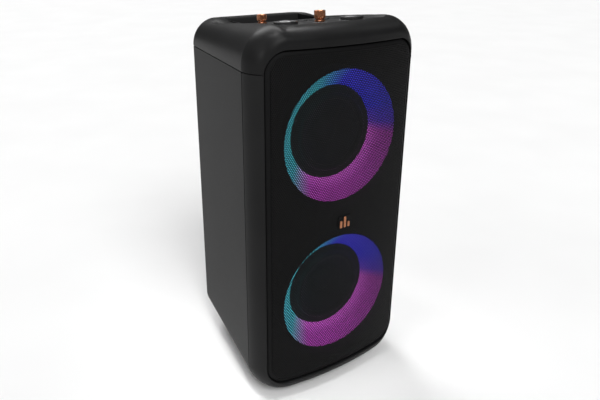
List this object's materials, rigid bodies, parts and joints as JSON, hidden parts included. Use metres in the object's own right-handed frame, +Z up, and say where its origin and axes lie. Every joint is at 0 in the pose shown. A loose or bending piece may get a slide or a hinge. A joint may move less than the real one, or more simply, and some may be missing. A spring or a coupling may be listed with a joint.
{
  "type": "party speaker",
  "caption": "Portable party speaker: tapered black cabinet, bowed perforated grille with lit rings round its woofers, sunken control deck and rear carry handle.",
  "frame": {"origin": "on the floor under the middle of the speaker, at the centre of its bounding box", "axes": "+X to the right seen from the front, front faces -Y, +Z up"},
  "size_m": [0.278, 0.2646, 0.586],
  "materials": {
    "side_plastic": "fine moulded texture, dark grey",
    "bezel_plastic": "satin black",
    "housing_plastic": "satin charcoal",
    "deck_plastic": "satin black",
    "grip_rubber": "soft-touch",
    "grille_metal": "perforated steel, black powder coat",
    "copper_trim": "satin copper plating",
    "dial_plastic": "satin black with lighter cap",
    "ring_light": "translucent diffuser lit from behind",
    "circuit_board": "green laminate with parts",
    "baffle_board": "black",
    "basket_steel": "black stamped steel",
    "surround_rubber": "matt butyl",
    "cone_paper": "coated pulp",
    "spider_cloth": "treated corrugated cloth",
    "magnet_steel": "zinc plated",
    "heat_alloy": "extruded",
    "cell_wrap": "shrink wrap",
    "socket_plastic": "black",
    "foot_rubber": "matt",
    "screw_steel": "black oxide"
  },
  "bodies": {
    "cabinet": {"front_bezel": "bezel_plastic", "cabinet_shell": "side_plastic", "top_housing": "housing_plastic", "carry_handle": "grip_rubber", "control_panel": "deck_plastic", "control_board": "circuit_board", "volume_encoder": "heat_alloy", "gain_encoder": "heat_alloy", "bass_encoder": "heat_alloy", "treble_encoder": "heat_alloy", "front_grille": "grille_metal", "grille_badge": "copper_trim", "front_baffle": "baffle_board", "tweeter": "basket_steel", "rear_panel": "bezel_plastic", "bass_port": "socket_plastic", "io_panel": "deck_plastic", "mic_socket": "socket_plastic", "aux_socket": "socket_plastic", "usb_socket": "heat_alloy", "mains_inlet": "socket_plastic", "screw_upper_left": "screw_steel", "screw_upper_right": "screw_steel", "screw_lower_left": "screw_steel", "screw_lower_right": "screw_steel", "amplifier_board": "circuit_board", "heat_sink": "heat_alloy", "power_supply": "circuit_board", "battery_pack": "cell_wrap", "foot_front_left": "foot_rubber", "foot_front_right": "foot_rubber", "foot_rear_left": "foot_rubber", "foot_rear_right": "foot_rubber", "light_ring_upper": "ring_light", "led_board_upper": "circuit_board", "woofer_basket_upper": "basket_steel", "surround_upper": "surround_rubber", "spider_upper": "spider_cloth", "magnet_upper": "magnet_steel", "light_ring_lower": "ring_light", "led_board_lower": "circuit_board", "woofer_basket_lower": "basket_steel", "surround_lower": "surround_rubber", "spider_lower": "spider_cloth", "magnet_lower": "magnet_steel"},
    "volume_knob": {"volume_knob": "copper_trim"},
    "gain_knob": {"gain_knob": "copper_trim"},
    "bass_dial": {"bass_dial": "dial_plastic"},
    "treble_dial": {"treble_dial": "dial_plastic"},
    "power_button": {"power_button": "dial_plastic"},
    "pairing_button": {"pairing_button": "dial_plastic"},
    "lights_button": {"lights_button": "dial_plastic"},
    "mode_button": {"mode_button": "dial_plastic"},
    "link_button": {"link_button": "dial_plastic"},
    "cone_upper": {"cone_upper": "cone_paper", "dust_cap_upper": "surround_rubber"},
    "cone_lower": {"cone_lower": "cone_paper", "dust_cap_lower": "surround_rubber"}
  },
  "joints": [
    {"name": "volume_knob_turn", "type": "hinge", "parent": "cabinet", "child": "volume_knob", "pos_m": [-0.006, -0.066, 0.56921], "axis": [0, 0.0889, 0.996], "continuous": true},
    {"name": "gain_knob_turn", "type": "hinge", "parent": "cabinet", "child": "gain_knob", "pos_m": [-0.072, -0.021, 0.56519], "axis": [0, 0.0889, 0.996], "range_deg": [-150, 150]},
    {"name": "bass_dial_turn", "type": "hinge", "parent": "cabinet", "child": "bass_dial", "pos_m": [-0.062, -0.066, 0.56921], "axis": [0, 0.0889, 0.996], "range_deg": [-140, 140]},
    {"name": "treble_dial_turn", "type": "hinge", "parent": "cabinet", "child": "treble_dial", "pos_m": [0.05, -0.066, 0.56921], "axis": [0, 0.0889, 0.996], "range_deg": [-140, 140]},
    {"name": "power_press", "type": "slide", "parent": "cabinet", "child": "power_button", "axis": [0, -0.0889, -0.996], "range_m": [0, 0.001], "stiffness_N_per_m": 400},
    {"name": "pairing_press", "type": "slide", "parent": "cabinet", "child": "pairing_button", "axis": [0, -0.0889, -0.996], "range_m": [0, 0.001], "stiffness_N_per_m": 400},
    {"name": "lights_press", "type": "slide", "parent": "cabinet", "child": "lights_button", "axis": [0, -0.0889, -0.996], "range_m": [0, 0.001], "stiffness_N_per_m": 400},
    {"name": "mode_press", "type": "slide", "parent": "cabinet", "child": "mode_button", "axis": [0, -0.0889, -0.996], "range_m": [0, 0.001], "stiffness_N_per_m": 400},
    {"name": "link_press", "type": "slide", "parent": "cabinet", "child": "link_button", "axis": [0, -0.0889, -0.996], "range_m": [0, 0.001], "stiffness_N_per_m": 400},
    {"name": "cone_upper_travel", "type": "slide", "parent": "cabinet", "child": "cone_upper", "axis": [0, -1, 0], "range_m": [-0.004, 0.004], "stiffness_N_per_m": 1500},
    {"name": "cone_lower_travel", "type": "slide", "parent": "cabinet", "child": "cone_lower", "axis": [0, -1, 0], "range_m": [-0.004, 0.004], "stiffness_N_per_m": 1500}
  ]
}
